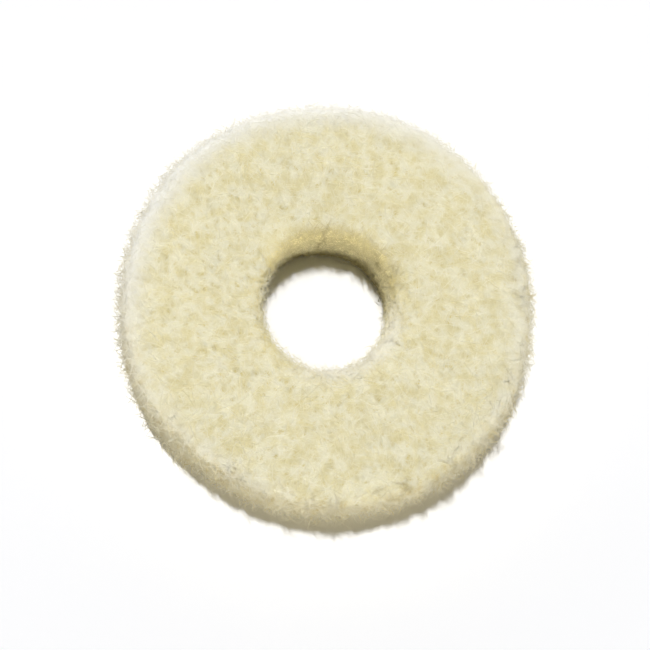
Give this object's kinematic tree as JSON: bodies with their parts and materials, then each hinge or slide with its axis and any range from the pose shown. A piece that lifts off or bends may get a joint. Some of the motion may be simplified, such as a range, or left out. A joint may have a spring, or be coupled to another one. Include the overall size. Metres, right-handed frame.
{
  "type": "felt polishing wheel",
  "caption": "Flat ring of pressed wool felt with a plain central bore, carried on a spindle and charged with fine polish to finish stones and metal.",
  "frame": {"origin": "centre of the lower face, which is the face that the wheel lies on", "axes": "+Z along the spindle's axis, from the lower face to the upper face; X and Y are free, because the ring is round"},
  "size_m": [0.025, 0.025, 0.004],
  "materials": {
    "felt": "matte"
  },
  "bodies": {
    "root": {"felt_wheel": "felt"}
  },
  "joints": []
}
